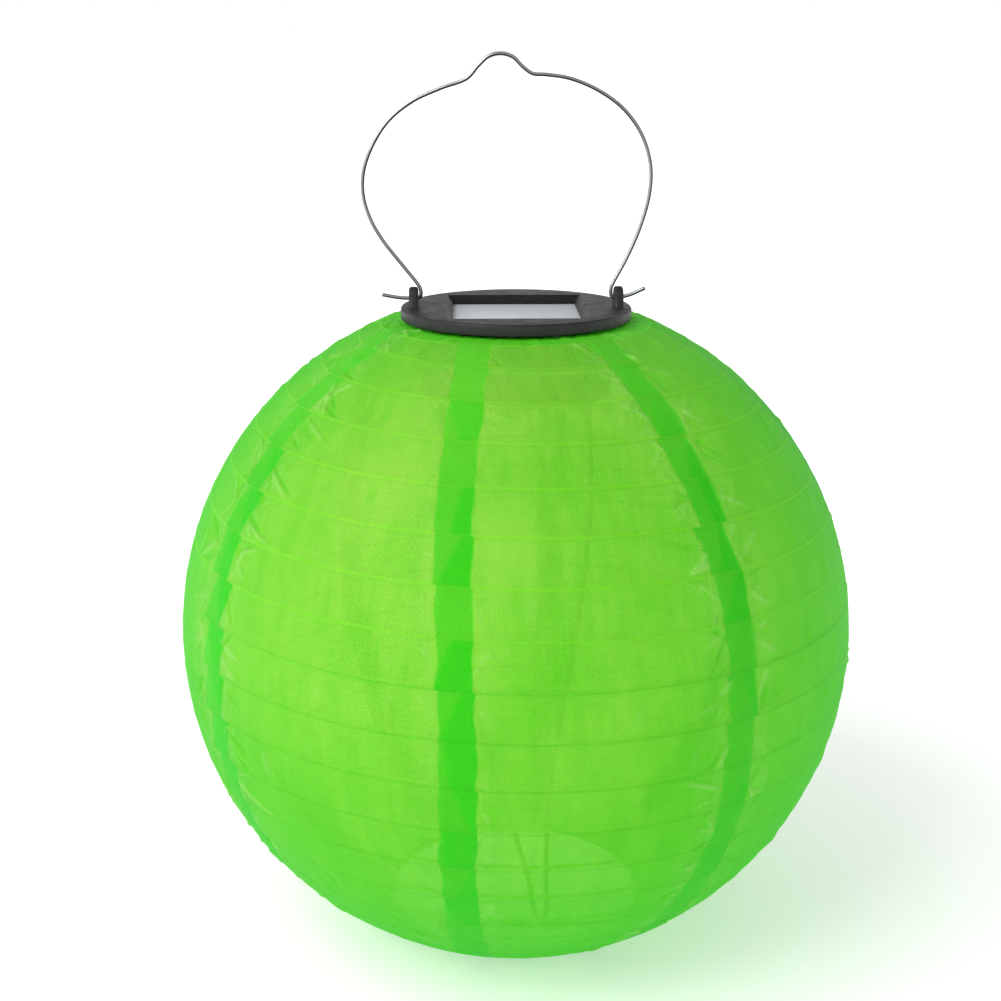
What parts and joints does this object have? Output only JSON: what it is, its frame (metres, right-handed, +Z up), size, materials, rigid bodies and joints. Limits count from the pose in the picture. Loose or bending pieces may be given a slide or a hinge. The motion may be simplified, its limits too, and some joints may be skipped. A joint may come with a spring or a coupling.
{
  "type": "solar fabric lantern",
  "caption": "Round fabric lantern on a spiral wire rib, with a round black solar head, battery and light, a wire spreader that keeps the globe open and a swinging wire bail.",
  "frame": {"origin": "centre of the bottom hoop, on the surface that the lantern stands on", "axes": "+Z up through the middle of the globe and the head; +X along the hinge line of the bail, to the right of someone who faces the front; -Y is the front"},
  "size_m": [0.2488, 0.2489, 0.3252],
  "materials": {
    "green_fabric": "thin woven polyester, soft sheen",
    "seam_fabric": "doubled woven polyester",
    "hem_fabric": "woven polyester hem over a wire ring",
    "rib_wire": "thin spring wire",
    "galvanised_wire": "bright galvanised",
    "cap_plastic": "moulded, fine texture",
    "housing_plastic": "moulded, matte",
    "panel_glaze": "clear, glossy",
    "cell_blue": "silicon cell",
    "panel_board": "laminate",
    "foam": "closed-cell foam",
    "battery_sleeve": "plain shrink sleeve",
    "contact_metal": "nickel plated",
    "screw_steel": "zinc plated",
    "circuit_laminate": "solder mask",
    "chip_plastic": "moulded",
    "coil_lacquer": "lacquered",
    "led_resin": "clear resin",
    "lens_plastic": "frosted",
    "switch_case": "pressed tinplate",
    "red_lead": "PVC",
    "black_lead": "PVC"
  },
  "bodies": {
    "shade": {"shade_gore_1": "green_fabric", "shade_gore_2": "green_fabric", "shade_gore_3": "green_fabric", "shade_gore_4": "green_fabric", "shade_gore_5": "green_fabric", "shade_gore_6": "green_fabric", "shade_gore_7": "green_fabric", "shade_gore_8": "green_fabric", "seam_band_1": "seam_fabric", "seam_band_2": "seam_fabric", "seam_band_3": "seam_fabric", "seam_band_4": "seam_fabric", "seam_band_5": "seam_fabric", "seam_band_6": "seam_fabric", "seam_band_7": "seam_fabric", "seam_band_8": "seam_fabric", "spiral_rib": "rib_wire", "bottom_hoop": "hem_fabric", "cross_wire": "galvanised_wire"},
    "top_ring": {"top_hoop": "hem_fabric"},
    "head": {"spreader_wire": "galvanised_wire", "cap_cover": "cap_plastic", "battery_housing": "housing_plastic", "solar_glaze": "panel_glaze", "solar_board": "panel_board", "panel_gasket": "foam", "battery": "battery_sleeve", "battery_spring": "contact_metal", "battery_contact": "contact_metal", "circuit_board": "circuit_laminate", "controller_chip": "chip_plastic", "inductor": "coil_lacquer", "led": "led_resin", "led_lens": "lens_plastic", "led_lead_anode": "contact_metal", "led_lead_cathode": "contact_metal", "switch_body": "switch_case", "panel_lead_red": "red_lead", "panel_lead_black": "black_lead", "battery_lead_red": "red_lead", "battery_lead_black": "black_lead", "solar_cell_1": "cell_blue", "solar_cell_2": "cell_blue", "solar_cell_3": "cell_blue", "solar_cell_4": "cell_blue", "housing_screw_1": "screw_steel", "housing_screw_2": "screw_steel", "housing_screw_3": "screw_steel", "housing_screw_4": "screw_steel"},
    "handle": {"handle_wire": "galvanised_wire"},
    "battery_door": {"battery_door": "housing_plastic", "battery_door_screw": "screw_steel"},
    "switch_slider": {"switch_slider": "housing_plastic"}
  },
  "joints": [
    {"name": "head_lift", "type": "slide", "parent": "shade", "child": "head", "axis": [0, 0, 1], "range_m": [0, 0.24]},
    {"name": "shade_fold", "type": "slide", "parent": "shade", "child": "top_ring", "axis": [0, 0, -1], "range_m": [0, 0.21], "deforming": ["shade_gore_1", "shade_gore_2", "shade_gore_3", "shade_gore_4", "shade_gore_5", "shade_gore_6", "shade_gore_7", "shade_gore_8", "seam_band_1", "seam_band_2", "seam_band_3", "seam_band_4", "seam_band_5", "seam_band_6", "seam_band_7", "seam_band_8", "spiral_rib"]},
    {"name": "handle_swing", "type": "hinge", "parent": "head", "child": "handle", "pos_m": [0, 0, 0.2396], "axis": [1, 0, 0], "range_deg": [-90, 90]},
    {"name": "battery_door_drop", "type": "slide", "parent": "head", "child": "battery_door", "axis": [0, 0, -1], "range_m": [0, 0.03]},
    {"name": "switch_slide", "type": "slide", "parent": "head", "child": "switch_slider", "axis": [1, 0, 0], "range_m": [0, 0.0024]}
  ]
}
